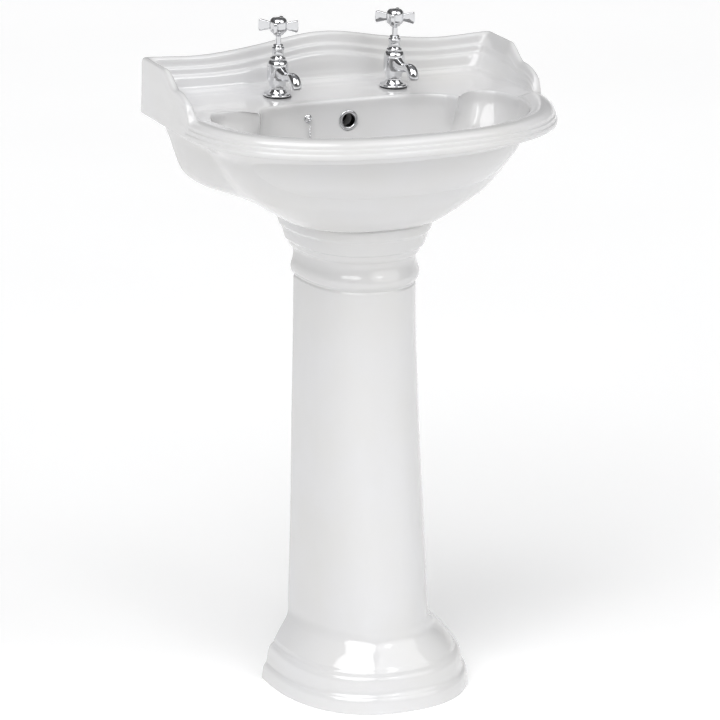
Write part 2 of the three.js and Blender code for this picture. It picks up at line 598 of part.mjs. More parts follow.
const trapCup = () => onWaste(turned([
  [0, 446], [26, 446], [31, 450], [33, 456], [33, 481.7], [29.6, 481.7], [29.6, 458], [26, 452], [0, 451],
]))

const alongY = (body, y) => body.rotate([-90, 0, 0]).translate(0, y, TRAP_Z)
const outletNut = () => alongY(washer(17.7, 23, 0, 20), -140)
const outletPipe = () => alongY(washer(14, 17, 0, 123), -125.7)
const trapNut = () => onWaste(ring([[17, 597], [25, 597], [25, 616], [21.1, 616], [21.1, 602.6], [17, 602.6]]))

// ---- the whole object ----
const basinMesh = part('basin', basin(), china)
const pieces = [
  basinMesh,
  part('pedestal', pedestal(), china),
  ...tap('hot', -TAP_X),
  ...tap('cold', TAP_X),
  part('overflow_trim', overflowTrim(), chrome),
  part('chain_stay', chainStay(), chrome),
  part('chain_stay_nut', stayNut(), brass),
  part('plug', plugRubber(), rubber),
  part('plug_cap', plugCap(), chrome),
  part('plug_chain', chain(basinMesh), chrome),
  part('waste_body', wasteBody(), chrome),
  part('waste_upper_seal', onWaste(washer(22, 31, WASTE_SEAT_Z + GAP, WASTE_SEAT_Z + 1.8)), rubber),
  part('waste_lower_seal', onWaste(washer(21.1, 31, SEAT_Z - 4, SEAT_Z - GAP)), rubber),
  part('waste_backnut', onWaste(hexNut(52, 21.1, SEAT_Z - 15, SEAT_Z - 4.3)), brass),
  part('trap_inlet_nut', trapNut(), plastic),
  part('trap_seal', onWaste(washer(14, 20, 606.3, 609.7)), rubber),
  part('trap_body', trapBody(), plastic),
  part('trap_cup', trapCup(), plastic),
  part('trap_outlet_nut', outletNut(), plastic),
  part('trap_outlet_pipe', outletPipe(), plastic),
]
const group = new THREE.Group()
group.add(...pieces)
group.position.y = DEPTH / 2
export default group
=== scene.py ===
"""The looks of the pedestal sink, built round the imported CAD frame. Lengths in the tables are millimetres,
laid out as the CAD source lays them out (wall at y = 0, floor at z = 0) and moved into the frame as made."""

import json
import math

import bmesh
import bpy
import numpy as np
from mathutils import Matrix, Vector
from mathutils.bvhtree import BVHTree


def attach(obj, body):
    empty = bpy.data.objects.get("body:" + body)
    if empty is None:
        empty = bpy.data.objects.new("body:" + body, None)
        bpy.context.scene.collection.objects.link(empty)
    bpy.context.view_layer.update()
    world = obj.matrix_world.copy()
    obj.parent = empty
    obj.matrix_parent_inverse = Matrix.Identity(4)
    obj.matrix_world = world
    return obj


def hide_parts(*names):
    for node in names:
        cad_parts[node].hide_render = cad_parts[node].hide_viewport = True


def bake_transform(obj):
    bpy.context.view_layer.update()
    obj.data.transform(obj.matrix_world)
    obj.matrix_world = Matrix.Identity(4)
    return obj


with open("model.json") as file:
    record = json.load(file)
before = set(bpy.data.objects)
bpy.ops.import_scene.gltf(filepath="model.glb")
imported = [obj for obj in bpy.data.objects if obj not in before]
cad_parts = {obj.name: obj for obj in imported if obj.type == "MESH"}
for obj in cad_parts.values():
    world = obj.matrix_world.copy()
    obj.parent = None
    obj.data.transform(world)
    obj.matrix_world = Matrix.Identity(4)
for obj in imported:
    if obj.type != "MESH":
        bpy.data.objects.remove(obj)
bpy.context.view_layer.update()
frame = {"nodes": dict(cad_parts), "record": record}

# ---- the CAD's dimensions ----
HALF_WIDTH, DEPTH = 262, 356
LIP_Z, DECK_Z, CORNER_Z, HUMP = 777, 800, 853, 17
CREASE_Y, WING_END_Y, RIM_WIDTH = -146, -170, 33
BOWL_EDGE_Z, BOWL_FLOOR_Z, SEAT_Z, DECK_UNDER_Z = 797, 671, 648.3, 788
CENTRE = np.array([0.0, -200.0])
WASTE = np.array([0.0, -178.0])
TAP_X, TAP_Y, TAP_SEAT_Z = 86, -60, 798.6
OVERFLOW_Y, OVERFLOW_Z = -102.5, 768
STAY = (-60, -103.5, 775)
WASTE_SEAT_Z = 671.4
PEDESTAL_TOP = 648
HANDLE_ANGLE = math.radians(-32)
TRAP_Z = 535
TAP_HOLE_R, TAP_RECESS_R = 14, 20.5
WASTE_HOLE_R, WASTE_RECESS_R = 22, 35
OVERFLOW_BORE_R, OVERFLOW_RECESS_R = 11, 15
FIXING_X, FIXING_Z, FIXING_R = 200, 745, 5
SHIFT = np.array([0.0, DEPTH / 2, 0.0])
MM = 0.001
SHARP_ANGLE = 40  # degrees between faces past which an edge stays crisp


# ---- camera ----
def make_camera():
    turn, rise, roll = math.radians(-24.7), math.radians(17.3), math.radians(1.2)
    back = Vector((math.sin(turn) * math.cos(rise), -math.cos(turn) * math.cos(rise), math.sin(rise)))
    right = Vector((math.cos(turn), math.sin(turn), 0))
    up = back.cross(right)
    x = right * math.cos(roll) + up * math.sin(roll)
    y = up * math.cos(roll) - right * math.sin(roll)
    data = bpy.data.cameras.new("camera")
    data.lens, data.sensor_width = 180, 36
    data.clip_start, data.clip_end = 0.1, 200
    cam = bpy.data.objects.new("camera", data)
    bpy.context.scene.collection.objects.link(cam)
    place = Vector((-0.0275, -0.0384, 0.4653)) + back * 4.831
    cam.matrix_world = Matrix(((x.x, y.x, back.x, place.x), (x.y, y.y, back.y, place.y),
                               (x.z, y.z, back.z, place.z), (0, 0, 0, 1)))
    bpy.context.scene.camera = cam


make_camera()


# ---- meshes ----
def smoothstep(a, b, x):
    t = np.clip((np.asarray(x, float) - a) / (b - a), 0, 1)
    return t * t * (3 - 2 * t)


def mesh_object(name, verts, faces, material, smooth=35, place=(0, 0, 0), turn=0.0):
    """verts are in millimetres about place; they are turned about Z and moved into the frame."""
    v = np.asarray(verts, float)
    c, s = math.cos(turn), math.sin(turn)
    v = v @ np.array([[c, s, 0], [-s, c, 0], [0, 0, 1]]) + np.array(place, float)
    v = (v + SHIFT) * MM
    mesh = bpy.data.meshes.new(name)
    mesh.from_pydata(v.tolist(), [], [tuple(int(i) for i in f) for f in faces])
    bm = bmesh.new()
    bm.from_mesh(mesh)
    bmesh.ops.remove_doubles(bm, verts=bm.verts, dist=1e-6)
    bmesh.ops.recalc_face_normals(bm, faces=bm.faces)
    bm.to_mesh(mesh)
    bm.free()
    mesh.validate()
    obj = bpy.data.objects.new(name, mesh)
    bpy.context.scene.collection.objects.link(obj)
    if material:
        mesh.materials.append(material)
    finish_shading(obj, smooth)
    return obj


def finish_shading(obj, angle):
    obj.data.shade_smooth()
    if angle:
        obj.data.set_sharp_from_angle(angle=math.radians(angle))


def skin(rings):
    """Verts and faces of a closed skin through rings of equal length, with a point amid each end."""
    n = len(rings[0])
    verts = [p for ring in rings for p in ring]
    faces = []
    for k in range(len(rings) - 1):
        a, b = k * n, (k + 1) * n
        faces += [(a + i, a + (i + 1) % n, b + (i + 1) % n, b + i) for i in range(n)]
    for k, flip in ((0, True), (len(rings) - 1, False)):
        verts.append(np.mean(rings[k], axis=0))
        m, a = len(verts) - 1, k * n
        for i in range(n):
            j = (i + 1) % n
            faces.append((a + j, a + i, m) if flip else (a + i, a + j, m))
    return verts, faces


def between(rings, steps):
    """The rings with more rings drawn between them along centripetal Catmull-Rom curves."""
    rings = [np.asarray(r, float) for r in rings]
    ends = [2 * rings[0] - rings[1], *rings, 2 * rings[-1] - rings[-2]]
    out = []
    for p0, p1, p2, p3 in zip(ends, ends[1:], ends[2:], ends[3:]):
        d0, d1, d2 = (np.maximum(np.linalg.norm(b - a, axis=1) ** 0.5, 1e-3)[:, None]
                      for a, b in ((p0, p1), (p1, p2), (p2, p3)))
        m1 = ((p1 - p0) / d0 - (p2 - p0) / (d0 + d1) + (p2 - p1) / d1) * d1
        m2 = ((p2 - p1) / d1 - (p3 - p1) / (d1 + d2) + (p3 - p2) / d2) * d1
        for k in range(steps):
            w = k / steps
            out.append(p1 + m1 * w + (3 * (p2 - p1) - 2 * m1 - m2) * w**2 + (2 * (p1 - p2) + m1 + m2) * w**3)
    return out + [rings[-1]]


def apply(obj):
    """Turns the object's modifiers into its mesh."""
    dg = bpy.context.evaluated_depsgraph_get()
    made = bpy.data.meshes.new_from_object(obj.evaluated_get(dg), depsgraph=dg)
    obj.modifiers.clear()
    obj.data = made


def cut(obj, *tools):
    """Cuts each tool out of the object and deletes it."""
    for tool in tools:
        mod = obj.modifiers.new("cut", "BOOLEAN")
        mod.operation, mod.object, mod.solver = "DIFFERENCE", tool, "MANIFOLD"
        bpy.context.view_layer.update()
        apply(obj)
        bpy.data.objects.remove(tool)


def rounded(profile, r=0.5, steps=4):
    """An open [radius, height] profile with its inner corners rounded off."""
    pts = [np.array(p, float) for p in profile]
    out = [pts[0]]
    for a, b, c in zip(pts, pts[1:], pts[2:]):
        u, v = a - b, c - b
        lu, lv = np.linalg.norm(u), np.linalg.norm(v)
        if lu < 1e-6 or lv < 1e-6:
            continue
        k = min(r, lu * 0.45, lv * 0.45)
        p, q = b + u / lu * k, b + v / lv * k
        for i in range(steps + 1):
            t = i / steps
            out.append((1 - t) ** 2 * p + 2 * t * (1 - t) * b + t * t * q)
    out.append(pts[-1])
    return out


def lathe(profile, sides=72, r=0.5, closed=False):
    """Verts and faces of a turned piece from a profile that starts and ends on the axis, or a closed one."""
    pts = [np.array(p, float) for p in profile]
    if closed:
        middle = (pts[0] + pts[-1]) / 2
        pts = rounded([middle, *pts, middle], r)[:-1]
    else:
        pts = rounded(pts, r)
    verts, faces = [], []
    for p in pts:
        for i in range(sides):
            a = 2 * math.pi * i / sides
            verts.append((p[0] * math.cos(a), p[0] * math.sin(a), p[1]))
    count = len(pts)
    for k in range(count if closed else count - 1):
        a, b = k * sides, ((k + 1) % count) * sides
        faces += [(a + i, a + (i + 1) % sides, b + (i + 1) % sides, b + i) for i in range(sides)]
    return verts, faces


def joined(*parts):
    """One part from several, as verts and faces."""
    verts, faces = [], []
    for v, f in parts:
        start = len(verts)
        verts += [tuple(p) for p in v]
        faces += [tuple(i + start for i in face) for face in f]
    return verts, faces


def moved(part, matrix):
    v, f = part
    return [tuple(matrix @ Vector(p)) for p in v], f


def extruded(outline, thickness, bevel):
    """A flat plate in the XZ plane with rounded edges, as verts and faces."""
    bm = bmesh.new()
    verts = [bm.verts.new((x, -thickness / 2, z)) for x, z in outline]
    face = bm.faces.new(verts)
    made = bmesh.ops.extrude_face_region(bm, geom=[face])
    top = [g for g in made["geom"] if isinstance(g, bmesh.types.BMVert)]
    bmesh.ops.translate(bm, verts=top, vec=(0, thickness, 0))
    bmesh.ops.bevel(bm, geom=list(bm.edges), offset=bevel, segments=4, affect="EDGES", profile=0.5)
    bm.verts.index_update()
    part = ([tuple(v.co) for v in bm.verts], [tuple(v.index for v in f.verts) for f in bm.faces])
    bm.free()
    return part


def hex_nut(across, hole, low, high, sides=48):
    """A six-sided nut with chamfered corners, as verts and faces."""
    face_r, corner_r = across / 2, across / 2 * 0.97
    chamfer = min(1.2, (high - low) / 4)
    angles = [2 * math.pi * k / sides for k in range(sides)]

    def flats(a):
        return face_r / math.cos(a - int(a // (math.pi / 3)) * math.pi / 3 - math.pi / 6)

    bm = bmesh.new()
    loops = []
    for radius, z in ((hole, low), (corner_r, low), (None, low + chamfer), (None, high - chamfer),
                      (corner_r, high), (hole, high)):
        reach = [flats(a) if radius is None else radius for a in angles]
        loops.append([bm.verts.new((r * math.cos(a), r * math.sin(a), z)) for r, a in zip(reach, angles)])
    loops.append(loops[0])
    for a, b in zip(loops, loops[1:]):
        for i in range(sides):
            bm.faces.new((a[i], a[(i + 1) % sides], b[(i + 1) % sides], b[i]))
    bm.verts.index_update()
    part = ([tuple(v.co) for v in bm.verts], [tuple(v.index for v in f.verts) for f in bm.faces])
    bm.free()
    return part


def catmull(points, t):
    """A point of a centripetal Catmull-Rom curve, as the CAD draws it; t runs from 0 to 1 over the points."""
    pts = [np.array(p, float) for p in points]
    at = min(max(t, 0), 1) * (len(pts) - 1)
    i = min(int(at), len(pts) - 2)
    w = at - i
    p1, p2 = pts[i], pts[i + 1]
    p0 = pts[i - 1] if i > 0 else 2 * pts[0] - pts[1]
    p3 = pts[i + 2] if i + 2 < len(pts) else 2 * pts[-1] - pts[-2]
    d0, d1, d2 = (max(np.linalg.norm(b - a) ** 0.5, 1e-4) for a, b in ((p0, p1), (p1, p2), (p2, p3)))
    m1 = ((p1 - p0) / d0 - (p2 - p0) / (d0 + d1) + (p2 - p1) / d1) * d1
    m2 = ((p2 - p1) / d1 - (p3 - p1) / (d1 + d2) + (p3 - p2) / d2) * d1
    return p1 + m1 * w + (3 * (p2 - p1) - 2 * m1 - m2) * w**2 + (2 * (p1 - p2) + m1 + m2) * w**3


# ---- materials ----
def material(name):
    mat = bpy.data.materials.new(name)
    mat.use_nodes = True
    return mat, mat.node_tree, mat.node_tree.nodes["Principled BSDF"]


def noise(tree, scale, detail=4.0, rough=0.5):
    """A cloudy 0 to 1 value over the object's own coordinates."""
    where = tree.nodes.new("ShaderNodeTexCoord")
    node = tree.nodes.new("ShaderNodeTexNoise")
    node.inputs["Scale"].default_value = scale
    node.inputs["Detail"].default_value = detail
    node.inputs["Roughness"].default_value = rough
    tree.links.new(where.outputs["Object"], node.inputs["Vector"])
    return node.outputs["Fac"]


def ramp(tree, fac, low, high):
    """low and high are (position, colour)."""
    node = tree.nodes.new("ShaderNodeValToRGB")
    for element, (at, colour) in zip(node.color_ramp.elements, (low, high)):
        element.position = at
        element.color = (*colour, 1)
    tree.links.new(fac, node.inputs["Fac"])
    return node.outputs["Color"]


def spread(tree, fac, low, high):
    """A 0 to 1 value spread over low to high."""
    node = tree.nodes.new("ShaderNodeMapRange")
    node.inputs["To Min"].default_value = low
    node.inputs["To Max"].default_value = high
    tree.links.new(fac, node.inputs["Value"])
    return node.outputs["Result"]


def bump(tree, shader, height, strength, distance):
    """Fine relief; distance is in metres."""
    node = tree.nodes.new("ShaderNodeBump")
    node.inputs["Strength"].default_value = strength
    node.inputs["Distance"].default_value = distance
    tree.links.new(height, node.inputs["Height"])
    tree.links.new(node.outputs["Normal"], shader.inputs["Normal"])


def glaze(name, light, warm):
    """Vitreous china: a hard clear glaze over a white body, with a faint cloudiness, ripple and pin marks."""
    mat, tree, shader = material(name)
    cloud = ramp(tree, noise(tree, 9, 5), (0.3, light), (0.75, warm))
    specks = ramp(tree, noise(tree, 900, 2), (0.69, (1, 1, 1)), (0.76, (0.93, 0.92, 0.9)))
    mix = tree.nodes.new("ShaderNodeMix")
    mix.data_type, mix.blend_type = "RGBA", "MULTIPLY"
    mix.inputs["Factor"].default_value = 1
    tree.links.new(cloud, mix.inputs["A"])
    tree.links.new(specks, mix.inputs["B"])
    tree.links.new(mix.outputs["Result"], shader.inputs["Base Color"])
    tree.links.new(spread(tree, noise(tree, 30, 3), 0.05, 0.11), shader.inputs["Roughness"])
    shader.inputs["IOR"].default_value = 1.52
    shader.inputs["Coat Weight"].default_value = 0.35
    shader.inputs["Coat Roughness"].default_value = 0.02
    ripple = tree.nodes.new("ShaderNodeMath")
    ripple.operation = "ADD"
    fine = tree.nodes.new("ShaderNodeMath")
    fine.operation = "MULTIPLY"
    fine.inputs[1].default_value = 0.04
    tree.links.new(noise(tree, 420, 2), fine.inputs[0])
    tree.links.new(noise(tree, 26, 2, 0.4), ripple.inputs[0])
    tree.links.new(fine.outputs[0], ripple.inputs[1])
    bump(tree, shader, ripple.outputs[0], 0.12, 0.0006)
    return mat


def plated(name, colour, low, high, scale=60):
    """Polished plate: a mirror with faint wiping marks and a soft unevenness."""
    mat, tree, shader = material(name)
    tint = ramp(tree, noise(tree, 40, 3), (0.3, colour), (0.8, tuple(c * 0.94 for c in colour)))
    tree.links.new(tint, shader.inputs["Base Color"])
    shader.inputs["Metallic"].default_value = 1
    tree.links.new(spread(tree, noise(tree, scale, 6, 0.7), low, high), shader.inputs["Roughness"])
    bump(tree, shader, noise(tree, 90, 2), 0.05, 0.0003)
    return mat


def moulded(name, colour, roughness, grain, strength):
    """Rubber or plastic with a cloudy tint and a fine grain."""
    mat, tree, shader = material(name)
    tint = ramp(tree, noise(tree, 25, 5), (0.25, colour), (0.8, tuple(c * 0.92 for c in colour)))
    tree.links.new(tint, shader.inputs["Base Color"])
    uneven = spread(tree, noise(tree, 200, 3), roughness * 0.85, roughness * 1.15)
    tree.links.new(uneven, shader.inputs["Roughness"])
    bump(tree, shader, noise(tree, grain, 3), strength, 0.0002)
    return mat


china = glaze("white_glaze", (0.72, 0.72, 0.73), (0.7, 0.695, 0.685))
chrome = plated("polished_chrome", (0.76, 0.765, 0.78), 0.02, 0.07)
brass = plated("machined_brass", (0.72, 0.52, 0.24), 0.2, 0.34, 300)
rubber = moulded("black_rubber", (0.028, 0.028, 0.03), 0.6, 900, 0.5)
fibre = moulded("milky_polythene", (0.72, 0.71, 0.66), 0.4, 700, 0.3)
plastic = moulded("white_polypropylene", (0.8, 0.8, 0.785), 0.3, 500, 0.25)
# Near-black finish for the disc inside the overflow: painted shade that stands for the unlit depth of the
# channel. It is not a real dark part.
painted_shade = moulded("painted_shade_black", (0.012, 0.012, 0.013), 0.8, 300, 0.2)
CAD_FINISH = {"china": china, "chrome": chrome, "brass": brass, "rubber": rubber, "fibre": fibre,
              "trap_plastic": plastic}


# ---- outlines in plan ----
def on_d(angles, half, back, front, half_back=None, split=CREASE_Y, power=2.4, corner=6.0):
    """Where rays from the centre at these angles leave a D outline with round back corners, by bisection."""
    c, s = np.cos(angles), np.sin(angles)
    half, back, front, corner = (np.broadcast_to(v, c.shape) for v in (half, back, front, corner))
    half_back = half if half_back is None else np.broadcast_to(half_back, c.shape)
    near, far = np.zeros_like(c), np.full_like(c, 2.0 * DEPTH)
    for _ in range(44):
        r = (near + far) / 2
        x, y = np.abs(r * c), CENTRE[1] + r * s
        with np.errstate(invalid="ignore"):
            bulge = (x / half) ** power + (np.maximum(split - y, 0) / (split - front)) ** power <= 1
        share = np.clip((y - split) / (back - split), 0, 1)
        width = half + (half_back - half) * share
        px, py = x - (width - corner), y - (back - corner)
        square = (x <= width) & (y <= back) & ((px < 0) | (py < 0) | (np.hypot(px, py) <= corner))
        ok = np.where(y < split, bulge, square)
        near, far = np.where(ok, r, near), np.where(ok, far, r)
    return np.stack([near * c, CENTRE[1] + near * s], 1)


def rays(along_back, along_side, round_front):
    """(angle, zone, share of the zone) for half the outline, crowded at its back corner, then mirrored."""
    found = []
    for i in range(along_back):
        t = 1 - (1 - i / along_back) ** 1.25
        found.append((math.atan2(-CENTRE[1], HALF_WIDTH * t), "back", t))
    for i in range(along_side):
        t = (i / along_side) ** 1.25
        found.append((math.atan2(WING_END_Y * t - CENTRE[1], HALF_WIDTH), "side", t))
    start = math.atan2(WING_END_Y - CENTRE[1], HALF_WIDTH)
    for i in range(round_front + 1):
        t = i / round_front
        found.append((start + (-math.pi / 2 - start) * t, "front", t))
    mirror = [(math.pi - a, zone, t) for a, zone, t in reversed(found[1:-1])]
    return found + mirror


# ---- basin ----
# The bowl's edge from its middle to a cusp, and from the cusp round the lobe to the wing's end; then the
# same without the cusp, as the bowl is lower down.
BOWL_BACK = [(0, -100), (42, -101), (84, -104.5), (116, -112), (135, -123), (145, -139)]
BOWL_LOBE = [(145, -139), (154, -130), (168, -121.5), (187, -117.5), (206, -126), (217, -150), (221, -174.7)]
ROUND_BACK = [(0, -101), (40, -102.5), (80, -106.5), (112, -114), (133, -121.5), (149, -127)]
ROUND_LOBE = [(149, -127), (160, -128.5), (173, -128.5), (189, -131), (205, -140), (216, -155), (221, -174.7)]
UPSTAND = [  # rim inset, rim height, side inset, back inset, and what sets the height on a wing
    (25, 801.2, 46, 36, "up", 0), (21, 802, 41, 29, "up", 0.06), (19, 802.2, 38, 25, "up", 0.15),
    (18, 802.3, 36, 22.5, "up", 0.19), (17, 802.3, 26, 19, "fall", 28), (16, 802.2, 24, 15.5, "fall", 25),
    (15, 802.1, 21, 14.5, "fall", 17), (14, 802, 19, 11.5, "fall", 14), (12, 801.6, 12, 10.5, "fall", 4),
    (10.5, 801.2, 8.5, 8.5, "fall", 0.8), (8.5, 800.2, 5.5, 5, "fall", 0), (6.5, 798.5, 3, 1.5, "fall", 1.2),
    (4.4, 795.5, 2, 0, "fall", 5), (4.1, 791.5, 1.6, 0, "drop", 0.3), (2.4, 790, 1.4, 0, "drop", 0.5),
    (2, 785.5, 1.1, 0, "drop", 0.7), (0.5, 784, 0.8, 0, "drop", 0.86), (0, 780, 0.2, 0, "drop", 0.96),
    (2, LIP_Z + 0.4, 1.4, 0, "drop", 1),
]
UNDERSIDE = [  # side, side at the back, front, back, corner, height, height at the back
    (5, 7, 5, 0, 8, 776.8, 776.7), (19, 23, 20, 0, 14, 776, 775.4), (26, 27, 28, 0, 24, 770, 763),
    (33, 30.5, 36.5, 1, 34, 763, 749),
    (43, 35, 46, 3.6, 40, 753, 726), (54, 42, 56, 9.6, 44, 734, 702), (69, 55.5, 65.5, 20, 46, 713, 689),
    (88, 77, 76, 34.6, 44, 692, 682), (111, 102.5, 89, 55, 38, 675, 674), (136, 129, 103, 79, 28, 659, 661.5),
    (156.5, 156.5, 117, 104, 8, SEAT_Z, SEAT_Z),
]


BOWL_SPANS = (0.1, 0.2, 0.3, 0.4, 0.5, 0.6, 0.68, 0.76, 0.83, 0.885, 0.925, 0.955, 0.974, 0.982, 0.988, 0.993,
              0.997, 1)


def serpentine(x):
    """The height of the splash-back's top: a hump in the middle and a slight dip on each side."""
    hump = HUMP * np.exp(-((np.abs(x) / 88) ** 2.1))
    return CORNER_Z + hump - 3.6 * np.exp(-(((np.abs(x) - 185) / 55) ** 2))


def wing_fall(y):
    """What is left of the upstand's height along a wing: it steps down and then rounds off to nothing."""
    late = np.clip((-y - 118) / (-WING_END_Y - 119), 0, 1)
    return 1 - 0.38 * smoothstep(74, 116, -y) - 0.62 * (1 - np.sqrt(1 - late * late))


def bowl_edge(spokes, back, lobe):
    """A point on the bowl's edge for each spoke."""
    side = dict(half=HALF_WIDTH - RIM_WIDTH, back=-60, front=-DEPTH + RIM_WIDTH, corner=40)
    end = np.array(lobe[-1], float)
    pull = end[0] / on_d(np.array([math.atan2(end[1] - CENTRE[1], end[0])]), **side)[0][0]
    rim = on_d(np.array([s[0] for s in spokes]), **side)
    found = []
    for (angle, zone, t), p in zip(spokes, rim):
        if zone == "front":
            late = float(smoothstep(0, 0.35, t))
            found.append((p - CENTRE) * (pull + (1 - pull) * late) + CENTRE)
        else:
            p = catmull(back if zone == "back" else lobe, t)
            found.append(np.array([math.copysign(p[0], math.cos(angle)), p[1]]))
    return np.array(found)


def basin_rings(spokes):
    """Rings from the waste up the bowl, over the deck, upstand and rim, and back under to the seat."""
    angles = np.array([s[0] for s in spokes])
    outer = on_d(angles, HALF_WIDTH, 0, -DEPTH)
    edge = bowl_edge(spokes, BOWL_BACK, BOWL_LOBE)
    plain = bowl_edge(spokes, ROUND_BACK, ROUND_LOBE)
    on_wing = 1 - smoothstep(-WING_END_Y - 10, -WING_END_Y, -outer[:, 1])
    behind = 1 - smoothstep(40, 150, -outer[:, 1])
    top = DECK_Z + (serpentine(outer[:, 0]) - DECK_Z) * wing_fall(outer[:, 1])
    edge_z = (DECK_Z - 0.5) * (1 - on_wing) + BOWL_EDGE_Z * on_wing
    rings = []
    for t in BOWL_SPANS:
        depth = (1 - t**2.6) ** (1 / 1.9)
        p = WASTE + (plain + (edge - plain) * (1 - smoothstep(0.03, 0.4, depth)) - WASTE) * t
        rings.append(np.column_stack([p, edge_z - 5 - (edge_z - 5 - BOWL_FLOOR_Z) * depth]))
    away = edge - CENTRE
    away /= np.linalg.norm(away, axis=1)[:, None]
    for grow, rise in ((0.5, -3.2), (1.5, -1.3), (3, -0.3), (5.5, 0)):
        rings.append(np.column_stack([edge + away * grow, edge_z + rise]))
    for rim, rim_z, side, back, kind, value in UPSTAND:
        p = on_d(angles, HALF_WIDTH - rim, -back, -DEPTH + rim, half_back=HALF_WIDTH - side,
                 corner=max(6, side / 2))
        height = top - DECK_Z
        share = np.minimum(1, height / (CORNER_Z - DECK_Z))
        if kind == "up":
            wing_z = DECK_Z + value * np.minimum(height, CORNER_Z - DECK_Z)
        elif kind == "fall":
            wing_z = top - value * share
        else:
            wing_z = (top - 5 * share) * (1 - value) + LIP_Z * value
        rings.append(np.column_stack([p, rim_z + (wing_z - rim_z) * on_wing]))
    for side, side_back, front, back, corner, z, z_back in UNDERSIDE:
        p = on_d(angles, HALF_WIDTH - side, -back, -DEPTH + front, half_back=HALF_WIDTH - side_back,
                 corner=corner, power=2.3)
        rings.append(np.column_stack([p, z + (z_back - z) * behind]))
    rings.append(np.column_stack([60 * np.cos(angles), WASTE[1] + 40 * np.sin(angles),
                                  np.full_like(angles, SEAT_Z)]))
    return rings


def rod(r, low, high, at=(0, 0), sides=64):
    """An upright round tool."""
    ring = [(r * math.cos(2 * math.pi * i / sides) + at[0], r * math.sin(2 * math.pi * i / sides) + at[1])
            for i in range(sides)]
    verts, faces = skin([np.array([(x, y, low) for x, y in ring]), np.array([(x, y, high) for x, y in ring])])
    return mesh_object("tool", verts, faces, None)


def bar(y0, y1, r, x, z, sides=64):
    """A round tool that lies from front to back."""
    ring = [(r * math.cos(2 * math.pi * i / sides) + x, r * math.sin(2 * math.pi * i / sides) + z)
            for i in range(sides)]
    verts, faces = skin([np.array([(a, y0, b) for a, b in ring]), np.array([(a, y1, b) for a, b in ring])])
    return mesh_object("tool", verts, faces, None)


def pocket(sign):
    """The hollow under the deck round one tap's tail, open at the bottom."""
    shape = [(-15, 560), (-15, DECK_UNDER_Z), (-87, DECK_UNDER_Z), (-102, 660), (-102, 560)]
    ends = [np.array([(sign * 79 + dx, y, z) for y, z in shape]) for dx in (-46, 46)]
    return mesh_object("tool", *skin(ends), None)


def make_basin():
    """The basin, with its holes, recesses and pockets cut."""
    spokes = rays(70, 56, 80)
    rings = between(basin_rings(spokes), 5)
    for ring in rings:
        ring[:, 0] = ring[:, 0].clip(-HALF_WIDTH, HALF_WIDTH)
        ring[:, 1] = ring[:, 1].clip(-DEPTH, 0)
    verts, faces = skin(rings)
    obj = mesh_object("glazed_basin", verts, faces, china, 0)
    tools = [pocket(1), pocket(-1)]
    for x in (-TAP_X, TAP_X):
        tools.append(rod(TAP_HOLE_R, 700, 900, (x, TAP_Y)))
        tools.append(rod(TAP_RECESS_R, TAP_SEAT_Z, 830, (x, TAP_Y)))
    tools += [rod(WASTE_HOLE_R, 600, 700, WASTE), rod(WASTE_RECESS_R, WASTE_SEAT_Z, 720, WASTE)]
    tools += [bar(-128, -50, OVERFLOW_BORE_R, 0, OVERFLOW_Z)]
    tools += [bar(-128, OVERFLOW_Y, OVERFLOW_RECESS_R, 0, OVERFLOW_Z)]
    tools += [bar(-30, 10, FIXING_R, x, FIXING_Z) for x in (-FIXING_X, FIXING_X)]
    cut(obj, *tools)
    finish_shading(obj, SHARP_ANGLE)
    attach(obj, "basin_stand")
    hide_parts("basin")
    return obj


# ---- pedestal ----
PEDESTAL = [  # height, half width, back and front
    (0, 139, -157, -340), (0.5, 139.7, -157, -340.7), (1.5, 140, -157, -341), (11, 139, -157, -340),
    (17, 138.2, -157, -339.2), (21, 136, -157, -337), (23.6, 133.6, -156, -334.2), (27, 132.5, -156, -332),
    (38, 131, -156, -330), (44, 129.4, -156, -328.8), (48, 126.8, -156, -326), (51, 123, -156, -321),
    (53, 121.9, -156, -319.2), (56, 121, -155.6, -317), (61, 117.4, -154.4, -312.6),
    (68, 111.4, -151, -306), (77, 101.6, -145, -297.5), (84, 95, -139, -292.5), (93, 91, -131.6, -290),
    (104, 89.6, -127, -289), (130, 88.2, -125, -286.6), (200, 85.8, -121.6, -278), (300, 83.8, -117, -260),
    (400, 82, -112.5, -243), (500, 79.8, -108, -232), (552, 79.1, -105.6, -228.7),
    (558, 78.9, -105.3, -228.4), (560.4, 77.9, -105, -227.1), (562.4, 78.4, -105, -227.7),
    (565, 80.8, -105, -229.8), (569, 82.7, -105, -232.2), (574, 83.4, -105, -232.8),
    (579, 82.6, -105, -231), (584.5, 80.9, -105, -228.3), (591, 80, -105, -225.5),
    (596, 80.3, -105, -224.8), (599.5, 81.6, -105, -225.2), (601.4, 83.4, -105, -226.6),
    (605, 85.6, -105, -228.4), (608.4, 87, -105, -229.3), (610.6, 88.4, -105, -230.2),
    (613, 91.5, -105, -232.5), (618, 93.6, -105, -234), (625, 95.7, -105, -235.1),
    (630, 97.2, -105, -235.8), (631.8, 98.4, -105, -236.5), (634, 100.6, -105, -238),
    (640, 102.8, -105, -238.6), (645.5, 104.2, -105, -238.6), (647.4, 104.3, -105, -238.1),
    (PEDESTAL_TOP, 103.8, -105, -237.6),
]
HOLLOW = [  # height, half width, where it begins to round, front
    (-5, 120, -169, -322), (20, 119, -169, -320), (50, 108, -165, -303), (80, 89, -150, -286),
    (110, 78, -139, -276), (200, 74.5, -133.6, -266), (400, 71, -124.5, -232), (500, 68.8, -120, -221),
    (556, 67.5, -117.5, -217), (598, 69.5, -117, -214), (613, 77, -117, -219), (640, 92, -117, -228),
    (680, 92, -117, -228),
]


